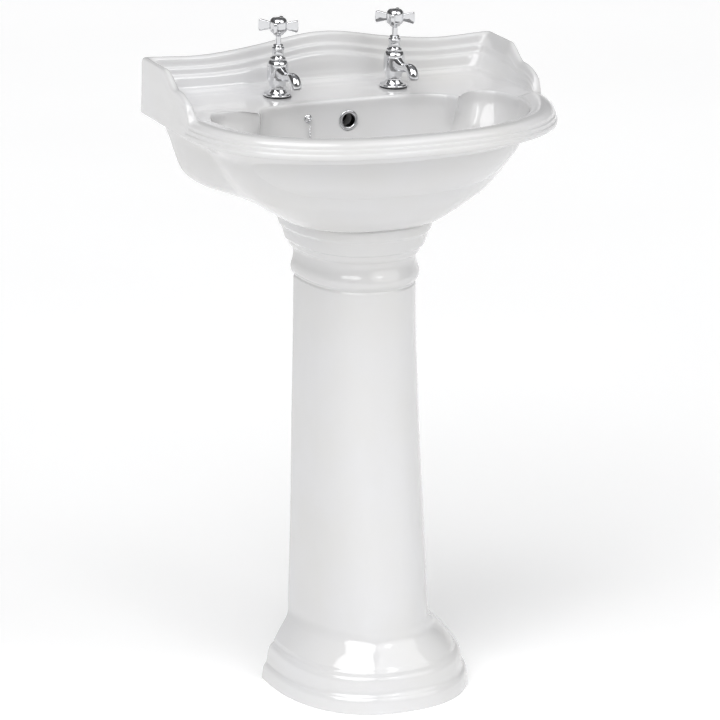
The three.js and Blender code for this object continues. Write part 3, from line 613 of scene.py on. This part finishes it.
def u_outline(half, back, front, z, split=None, power=2.35):
    """Half a U from the middle of its flat back round to the middle of its front, and then mirrored."""
    split = back - 12 if split is None else split
    pts = [(half * t, back) for t in np.linspace(0, 0.985, 9)]
    pts += [(half - 0.5, back - 0.12), (half, back - 1.6)]
    pts += [(half, y) for y in np.linspace(back - 3, split, 5)]
    for a in np.linspace(0, math.pi / 2, 80)[1:]:
        pts.append((half * math.cos(a) ** (2 / power), split - (split - front) * math.sin(a) ** (2 / power)))
    left = [(-x, y) for x, y in reversed(pts[1:-1])]
    return np.array([(x, y, z) for x, y in pts + left])


def make_pedestal():
    """The hollow pedestal, open at the back."""
    rings = [u_outline(half, back, front, z) for z, half, back, front in PEDESTAL]
    obj = mesh_object("glazed_pedestal", *skin(between(rings, 5)), china, 0)
    inner = [u_outline(half, -60, front, z, split) for z, half, split, front in HOLLOW]
    cut(obj, mesh_object("tool", *skin(inner), None))
    finish_shading(obj, SHARP_ANGLE)
    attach(obj, "basin_stand")
    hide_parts("pedestal")


# ---- taps ----
def spout():
    """The spout from inside the column to its mouth."""
    # along the spout: forward, height, half width and half height
    stations = [
        (-4, 33.5, 8.5, 11), (-11, 32.6, 8, 9.4), (-18, 31.5, 7.5, 8.2), (-25, 31, 7, 7),
        (-32, 31, 6.6, 6.2), (-39, 32, 6.6, 6), (-46, 33.4, 6.8, 6.2), (-52, 33.4, 7.2, 6.9),
        (-57, 31.6, 7.6, 7.5), (-60.4, 28.4, 7.7, 7.7), (-62, 25, 7.6, 7.6), (-62.6, 22, 7.4, 7.4),
        (-62.8, 20.4, 7.1, 7.1),
    ]
    rows = 60
    rings = []
    curve = [catmull(stations, i / rows) for i in range(rows + 1)]
    for i, p in enumerate(curve):
        a, b = curve[max(i - 1, 0)], curve[min(i + 1, rows)]
        along = np.array([b[0] - a[0], b[1] - a[1]])
        along /= np.linalg.norm(along)
        up = np.array([along[1], -along[0]])
        y, z, half_wide, half_high = p
        ring = []
        for k in range(48):
            t = 2 * math.pi * k / 48
            rise = half_high * math.sin(t)
            ring.append((half_wide * math.cos(t), y + up[0] * rise, z + up[1] * rise))
        rings.append(np.array(ring))
    # the mouth turns in and up to a dark bore
    last = rings[-1]
    middle = last.mean(axis=0)
    for scale, rise in ((0.9, -0.25), (0.72, 0.1), (0.66, 1), (0.64, 9)):
        ring = middle + (last - middle) * scale
        ring[:, 2] += rise
        rings.append(ring)
    return skin(rings)


def tap_column():
    """The tap's body from the end of its tail up to the headwork."""
    return lathe([
        (0, -50), (9.6, -50), (10.2, -48.5), (10.2, 0), (19.5, 0), (19.5, 1.6), (18.4, 2.8), (15, 3.4),
        (13.6, 4), (12.6, 5.6), (11.2, 9), (10.9, 12), (11.4, 15.4), (12.8, 18.6), (13.9, 21.5),
        (14.3, 26), (14.3, 40), (13.9, 43.4), (12.8, 45.8), (11.4, 47.2), (8.3, 47.2), (8.3, 44), (0, 44),
    ], r=0.9)


def thread(radius, low, high, pitch=1.8):
    """Rounded ridges round a tail, read as its screw thread."""
    profile = [(radius - 1.2, low)]
    z = low
    while z + pitch <= high:
        profile += [(radius - 0.7, z + 0.1), (radius, z + pitch / 2), (radius - 0.7, z + pitch - 0.1)]
        z += pitch
    profile.append((radius - 1.2, high))
    return lathe(profile, 48, 0.25)


def headwork():
    """The bonnet that screws into the body and holds the spindle."""
    return lathe([
        (4.4, 50), (4.4, 69), (6.4, 69), (7, 67.6), (7.5, 65.6), (8.5, 64.8), (8.5, 61.6), (7.6, 60.6),
        (7.7, 57), (8.2, 54.2), (9.2, 51.6), (10.4, 50.8), (10.6, 50.2), (10.6, 47.6), (7.9, 47.5),
        (7.9, 40), (4.4, 40),
    ], r=0.6, closed=True)


def spindle():
    """The turning rod, from inside the headwork up to the handle."""
    return lathe([
        (0, 50.4), (3.6, 50.4), (3.8, 51), (3.8, 80.5), (3.1, 81.5), (3.1, 98.2), (0, 98.2),
    ], 48, 0.3)


def cross_handle():
    """A hub with four flared arms."""
    hub = lathe([
        (3.5, 82), (5.8, 82), (7.2, 83), (8, 84.6), (10.6, 86.4), (11.9, 88.4), (12.2, 91), (12.2, 98),
        (11.9, 100.4), (11, 102.4), (9.6, 104), (8.6, 104.7), (7.8, 104.6), (7.8, 100.2), (3.5, 100.2),
    ], r=0.7, closed=True)
    side = [
        (9, 90), (13, 89.2), (17, 88.2), (21, 87.2), (24.6, 86.3), (26, 86.9), (26.7, 88.2), (27.1, 91.2),
        (27.3, 94.5), (27.1, 97.8), (26.7, 100.8), (26, 102.1), (24.6, 102.7), (21, 101.8), (17, 100.8),
        (13, 99.8), (9, 99),
    ]
    arm = extruded(side, 5, 1.1)
    arms = [moved(arm, Matrix.Rotation(math.pi / 2 * k, 4, "Z")) for k in range(4)]
    return joined(hub, *arms)


def index_cap():
    """The plain domed button on the handle."""
    return lathe([
        (0, 102.7), (7.3, 102.7), (7.3, 104.2), (6.7, 104.7), (5.9, 104.6), (5.5, 105), (3.4, 105.5),
        (1.7, 105.75), (0, 105.8),
    ], 64, 0.3)


def make_taps():
    for side, x in (("hot", -TAP_X), ("cold", TAP_X)):
        stand = (x, TAP_Y, TAP_SEAT_Z + 1.6)
        low = DECK_UNDER_Z - stand[2]
        made = [
            ("tap_body", joined(tap_column(), spout(), thread(10.2, -49, low - 14)), chrome,
             "basin_stand", "chrome"),
            ("deck_gasket", lathe([(10.8, -1.3), (18.8, -1.3), (18.8, -0.3), (10.8, -0.3)],
                                  r=0.3, closed=True), rubber, "basin_stand", "rubber"),
            ("under_washer", lathe([(10.8, low - 3.3), (18, low - 3.3), (18, low - 0.3), (10.8, low - 0.3)],
                                   r=0.5, closed=True), fibre, "basin_stand", "fibre"),
            ("backnut", hex_nut(29, 10.8, low - 13, low - 3.6), brass, "basin_stand", "brass"),
            ("headwork", headwork(), chrome, "basin_stand", "chrome"),
            ("spindle", spindle(), chrome, side + "_handle", "chrome"),
            ("cross_handle", cross_handle(), chrome, side + "_handle", "chrome"),
            ("index_cap", index_cap(), chrome, side + "_handle", "chrome"),
        ]
        for name, (verts, faces), mat, body, slot in made:
            turn = HANDLE_ANGLE if body.endswith("handle") else 0
            obj = mesh_object(f"{side}_{name}_piece", verts, faces, mat, 40, stand, turn)
            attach(obj, body)
            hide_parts(f"{side}_{name}")


# ---- overflow trim, chain stay, plug and chain ----
def facing_front(part, x, y, z):
    """A part turned so that its axis points away from the wall, and placed."""
    return moved(part, Matrix.Translation((x, y, z)) @ Matrix.Rotation(math.pi / 2, 4, "X"))


def torus(radius, tube, n=36, m=16):
    """An eye of round wire, as verts and faces."""
    verts, faces = [], []
    for i in range(n):
        a = 2 * math.pi * i / n
        for j in range(m):
            b = 2 * math.pi * j / m
            r = radius + tube * math.cos(b)
            verts.append((r * math.cos(a), r * math.sin(a), tube * math.sin(b)))
    for i in range(n):
        for j in range(m):
            a, b = i * m, ((i + 1) % n) * m
            faces.append((a + j, a + (j + 1) % m, b + (j + 1) % m, b + j))
    return verts, faces


def piece(name, part, mat, node, body="basin_stand"):
    """One visible piece that stands for a node of the CAD and rides on a body."""
    obj = mesh_object(name, *part, mat, SHARP_ANGLE)
    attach(obj, body)
    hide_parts(node)


def make_fittings():
    """Overflow trim, a near-black disc of painted shade inside the overflow, chain stay and plug."""
    trim = lathe([
        (9.4, -11), (10.6, -11), (10.6, 0.3), (14, 0.3), (14, 1.2), (13.4, 2.2), (12.4, 2.6), (10.6, 2.5),
        (9.7, 1.9), (9.4, 1),
    ], r=0.4, closed=True)
    mouth = (0, OVERFLOW_Y, OVERFLOW_Z)
    piece("overflow_ring", facing_front(trim, *mouth), chrome, "overflow_trim")
    # A near-black disc 30 mm back in the overflow bore: painted shade for the dark depth of the channel
    # behind the trim.
    disc = lathe([(0, -30), (10.5, -30), (10.5, -29), (0, -29)], r=0.2)
    dark = mesh_object("overflow_painted_shade", *facing_front(disc, *mouth), painted_shade, SHARP_ANGLE)
    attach(dark, "basin_stand")
    head = lathe([
        (0, -22.4), (2.8, -22.4), (2.8, 0.3), (5.8, 0.3), (5.8, 1.3), (5, 2.2), (3.6, 2.8), (3, 4),
        (2.6, 5.6), (1.6, 6.6), (0, 6.8),
    ], r=0.4)
    eye = moved(torus(2.6, 0.8), Matrix.Translation((0, -2.6, 4.6)) @ Matrix.Rotation(math.pi / 2, 4, "Y"))
    piece("stay_head", facing_front(joined(head, eye), *STAY), chrome, "chain_stay")
    waste = Matrix.Translation((0, float(WASTE[1]), 0))
    plug = lathe([
        (0, 665), (15.6, 665), (16.2, 665.8), (18.3, 676.6), (19.2, 677.4), (19.4, 678.2), (19, 679),
        (0, 679),
    ],
                 r=0.4)
    piece("plug_rubber", moved(plug, waste), rubber, "plug", "plug_assembly")
    plate = lathe([
        (0, 679.3), (14.6, 679.3), (15, 679.8), (14.4, 680.3), (9, 681), (5, 681.8), (3, 682.8),
        (2.4, 684), (1.4, 684.4), (0, 684.4),
    ], r=0.4)
    ring = moved(torus(3, 0.9), Matrix.Translation((0, 0, 686.4)) @ Matrix.Rotation(math.pi / 2, 4, "X"))
    piece("plug_plate", moved(joined(plate, ring), waste), chrome, "plug_cap", "plug_assembly")


def sphere(centre, r, n=14, m=8):
    x, y, z = centre
    verts = [(x, y, z + r)]
    for j in range(1, m):
        b = math.pi * j / m
        for i in range(n):
            a = 2 * math.pi * i / n
            verts.append((x + r * math.sin(b) * math.cos(a), y + r * math.sin(b) * math.sin(a),
                          z + r * math.cos(b)))
    verts.append((x, y, z - r))
    faces = [(0, 1 + i, 1 + (i + 1) % n) for i in range(n)]
    for j in range(m - 2):
        a, b = 1 + j * n, 1 + (j + 1) * n
        faces += [(a + i, b + i, b + (i + 1) % n, a + (i + 1) % n) for i in range(n)]
    end, a = len(verts) - 1, 1 + (m - 2) * n
    faces += [(end, a + (i + 1) % n, a + i) for i in range(n)]
    return verts, faces


CHAIN_R = 1.6
CHAIN_PITCH = 4.3
LINK_R = 0.45
CHAIN_FALL = [(-60, -110.9, 765.5), (-59.9, -111.4, 757), (-59.6, -112.2, 748.5)]
CHAIN_ON_BOWL = [
    (-59, -115), (-58, -119), (-57.5, -124), (-59, -130.5), (-64, -137.5), (-70, -145), (-73.5, -153.5),
    (-72, -162), (-66, -168.5), (-58, -172), (-49, -173),
]
CHAIN_TO_EYE = [
    (-33, -172.5, 679.6), (-24, -173, 683.4), (-15, -174.5, 685.2), (-8.6, -175.8, 686),
    (-5.6, -176.6, 686.2),
]


def make_chain(basin):
    """The ball chain: it falls from the stay, lies on the bowl and climbs to the plug's eye."""
    tree = BVHTree.FromObject(basin, bpy.context.evaluated_depsgraph_get())
    points = [np.array(p, float) for p in CHAIN_FALL]
    for x, y in CHAIN_ON_BOWL:
        hit, normal = tree.ray_cast(Vector((x, y + SHIFT[1], DECK_Z)) * MM, Vector((0, 0, -1)))[:2]
        points.append(np.array(hit) / MM - SHIFT + np.array(normal) * (CHAIN_R + 0.2))
    points += [np.array(p, float) for p in CHAIN_TO_EYE]
    fine = np.array([catmull(points, i / 1200) for i in range(1201)])
    run = np.concatenate([[0], np.cumsum(np.linalg.norm(np.diff(fine, axis=0), axis=1))])
    length = run[-1]
    count = int(length / CHAIN_PITCH)
    stops = [k * length / count for k in range(count + 1)]
    at = [np.array([np.interp(stop, run, fine[:, i]) for i in range(3)]) for stop in stops]
    parts = [sphere(p, CHAIN_R) for p in at]
    for a, b in zip(at, at[1:]):
        along = Vector(b - a)
        link = lathe([(0, 0), (LINK_R, 0), (LINK_R, along.length), (0, along.length)], 8, 0.1)
        parts.append(moved(link, Matrix.Translation(a) @ along.to_track_quat("Z", "Y").to_matrix().to_4x4()))
    obj = mesh_object("ball_chain", *joined(*parts), chrome, 50)
    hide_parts("plug_chain")
    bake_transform(obj)


# ---- waste and trap ----
def make_waste():
    """The slotted waste, its seal and nut, and the bottle trap with its pipe to the wall."""
    at = Matrix.Translation((0, float(WASTE[1]), 0))
    z = WASTE_SEAT_Z
    body = lathe([
        (15.6, 610), (20.4, 610), (20.4, z + 2.1), (33, z + 2.1), (33, z + 3), (31, z + 3.7), (28, z + 4),
        (24, z + 3.7), (20.2, z + 3.2), (17, 664), (17, 659), (15.6, 657),
    ], r=0.4, closed=True)
    cross = [moved(extruded([(-16.4, 653.6), (16.4, 653.6), (16.4, 656.4), (-16.4, 656.4)], 2, 0.4),
                   Matrix.Rotation(math.pi / 2 * k, 4, "Z")) for k in range(2)]
    piece("waste_fitting", moved(joined(body, *cross), at), chrome, "waste_body")
    nut = hex_nut(52, 21.1, SEAT_Z - 15, SEAT_Z - 4.3)
    piece("waste_nut", moved(nut, at), brass, "waste_backnut")
    seal = lathe([
        (21.1, SEAT_Z - 4), (31, SEAT_Z - 4), (31, SEAT_Z - 0.3), (21.1, SEAT_Z - 0.3),
    ], r=0.8, closed=True)
    piece("waste_under_seal", moved(seal, at), rubber, "waste_lower_seal")
    bottle = lathe([
        (13, 500), (14.6, 500), (14.6, 548), (22, 552), (30, 548), (30, 482), (33, 482), (33, 488),
        (32.4, 489), (33, 490), (33, 550), (32, 555), (29, 560), (22, 563), (16.5, 565), (16, 570),
        (16, 603), (19.9, 603), (19.9, 606), (13, 606),
    ], r=0.9, closed=True)
    stub = moved(lathe([(13.5, 27), (17, 27), (17, 51), (16.5, 52), (13.5, 52)], r=0.4, closed=True),
                 Matrix.Translation((0, 0, TRAP_Z)) @ Matrix.Rotation(-math.pi / 2, 4, "X"))
    piece("trap_bottle", moved(joined(bottle, stub), at), plastic, "trap_body")
    cup = joined(lathe([
        (0, 446), (24, 446), (28, 447.4), (31, 450), (32.6, 453), (33, 457), (33, 481.7), (29.6, 481.7),
        (29.6, 458), (26, 452), (0, 451),
    ], r=0.8), grips(32.2, 459, 478, 0.8, 20))
    piece("trap_screw_cup", moved(cup, at), plastic, "trap_cup")
    nut = joined(lathe([
        (17, 597), (24, 597), (24.4, 598), (24.4, 614.4), (23.4, 616), (21.1, 616), (21.1, 602.6),
        (17, 602.6),
    ], r=0.5, closed=True), grips(24.2, 599, 613, 0.8, 16))
    piece("trap_top_nut", moved(nut, at), plastic, "trap_inlet_nut")

    def along(part, y):
        return moved(part, Matrix.Translation((0, y, TRAP_Z)) @ Matrix.Rotation(-math.pi / 2, 4, "X"))

    out_nut = joined(lathe([
        (17.7, 0), (22, 0), (22.4, 1), (22.4, 19), (21.4, 20), (17.7, 20),
    ], r=0.5, closed=True),
                     grips(22.2, 2, 18, 0.8, 14))
    piece("trap_side_nut", along(out_nut, -140), plastic, "trap_outlet_nut")
    pipe = lathe([(14, 0), (17, 0), (17, 123), (14, 123)], r=0.6, closed=True)
    piece("waste_pipe", along(pipe, -125.7), plastic, "trap_outlet_pipe")


def grips(radius, low, high, height, count):
    """Rounded ribs round a hand nut."""
    ribs = []
    for k in range(count):
        a = 2 * math.pi * k / count
        rings = []
        for z, scale in ((low, 0.1), (low + 0.6, 0.8), (low + 1.6, 1),
                         (high - 1.6, 1), (high - 0.6, 0.8), (high, 0.1)):
            ring = []
            for i in range(12):
                t = 2 * math.pi * i / 12
                u, v = height * scale * math.cos(t) + radius - 0.05, 1.3 * scale * math.sin(t)
                ring.append((u * math.cos(a) - v * math.sin(a), u * math.sin(a) + v * math.cos(a), z))
            rings.append(np.array(ring))
        ribs.append(skin(rings))
    return joined(*ribs)


# ---- what the CAD's own nodes look like where they stay ----
def dress_cad():
    for name, node in frame["nodes"].items():
        slot = next(s["material_slot"] for s in frame["record"]["subparts"] if s["node"] == name)
        node.data.materials.clear()
        node.data.materials.append(CAD_FINISH[slot])


# ---- floor, light ----
def make_stage():
    mat, tree, shader = material("pale_floor")
    tint = ramp(tree, noise(tree, 1.4, 3), (0.3, (0.93, 0.93, 0.93)), (0.7, (0.91, 0.91, 0.91)))
    tree.links.new(tint, shader.inputs["Base Color"])
    shader.inputs["Roughness"].default_value = 0.6
    shader.inputs["Specular IOR Level"].default_value = 0.1
    shader.inputs["Emission Color"].default_value = (1, 1, 1, 1)
    shader.inputs["Emission Strength"].default_value = 0.21
    round_trip = [2 * math.pi * i / 96 for i in range(96)]
    verts, faces = skin([np.array([(r * math.cos(a), r * math.sin(a), 0) for a in round_trip])
                         for r in (1, 4, 16, 90)])
    middle = len(verts) - 2  # the first ring's own middle; the last ring's fan would lie under the floor
    mesh = bpy.data.meshes.new("floor")
    mesh.from_pydata([tuple(v) for v in verts], [], [f for f in faces if len(f) == 4 or middle in f])
    mesh.materials.append(mat)
    floor = bpy.data.objects.new("floor", mesh)
    bpy.context.scene.collection.objects.link(floor)


def softbox(name, azimuth, elevation, distance, width, height, power, aim=(0, 0, 0.6)):
    """A rectangular lamp that shows as a soft window in the glaze and the chrome."""
    back = direction(azimuth, elevation)
    data = bpy.data.lights.new(name, "AREA")
    data.shape, data.size, data.size_y, data.energy = "RECTANGLE", width, height, power
    lamp = bpy.data.objects.new(name, data)
    bpy.context.scene.collection.objects.link(lamp)
    lamp.location = Vector(aim) + back * distance
    lamp.rotation_mode = "QUATERNION"
    lamp.rotation_quaternion = (-back).to_track_quat("-Z", "Y")
    lamp.visible_camera = False
    return lamp


def direction(azimuth, elevation):
    """A unit vector towards the azimuth (0 is the front) and elevation, in degrees."""
    a, e = math.radians(azimuth), math.radians(elevation)
    return Vector((math.sin(a) * math.cos(e), -math.cos(a) * math.cos(e), math.sin(e)))


def sun(name, azimuth, elevation, strength, spread_deg):
    """A very large far softbox, so that the whole floor is lit alike."""
    data = bpy.data.lights.new(name, "SUN")
    data.energy, data.angle = strength, math.radians(spread_deg)
    lamp = bpy.data.objects.new(name, data)
    bpy.context.scene.collection.objects.link(lamp)
    lamp.rotation_mode = "QUATERNION"
    lamp.rotation_quaternion = (-direction(azimuth, elevation)).to_track_quat("-Z", "Y")


def make_light():
    world = bpy.data.worlds.new("studio")
    world.use_nodes = True
    bpy.context.scene.world = world
    tree = world.node_tree
    where = tree.nodes.new("ShaderNodeTexCoord")
    split = tree.nodes.new("ShaderNodeSeparateXYZ")
    tree.links.new(where.outputs["Generated"], split.inputs[0])
    sky = tree.nodes.new("ShaderNodeValToRGB")
    stops = sky.color_ramp.elements
    stops[0].position, stops[0].color = 0.0, (1, 1, 1, 1)
    stops[1].position, stops[1].color = 1.0, (0.35, 0.35, 0.36, 1)
    for at, grey in ((0.1, 0.75), (0.2, 0.2), (0.5, 0.08)):
        stop = stops.new(at)
        stop.color = (grey, grey, grey, 1)
    tree.links.new(split.outputs["Z"], sky.inputs["Fac"])
    tree.links.new(sky.outputs["Color"], tree.nodes["Background"].inputs["Color"])
    tree.nodes["Background"].inputs["Strength"].default_value = 0.85
    sun("key", -45, 55, 1.95, 50)
    sun("fill", 35, 42, 0.8, 50)
    softbox("window_left", -62, 34, 2.6, 0.5, 0.8, 4)
    softbox("window_right", 22, 38, 2.6, 0.4, 0.6, 2.5)


bpy.context.scene.view_settings.view_transform = "Standard"
dress_cad()
make_stage()
make_light()
basin = make_basin()
make_chain(basin)
make_pedestal()
make_taps()
make_fittings()
make_waste()
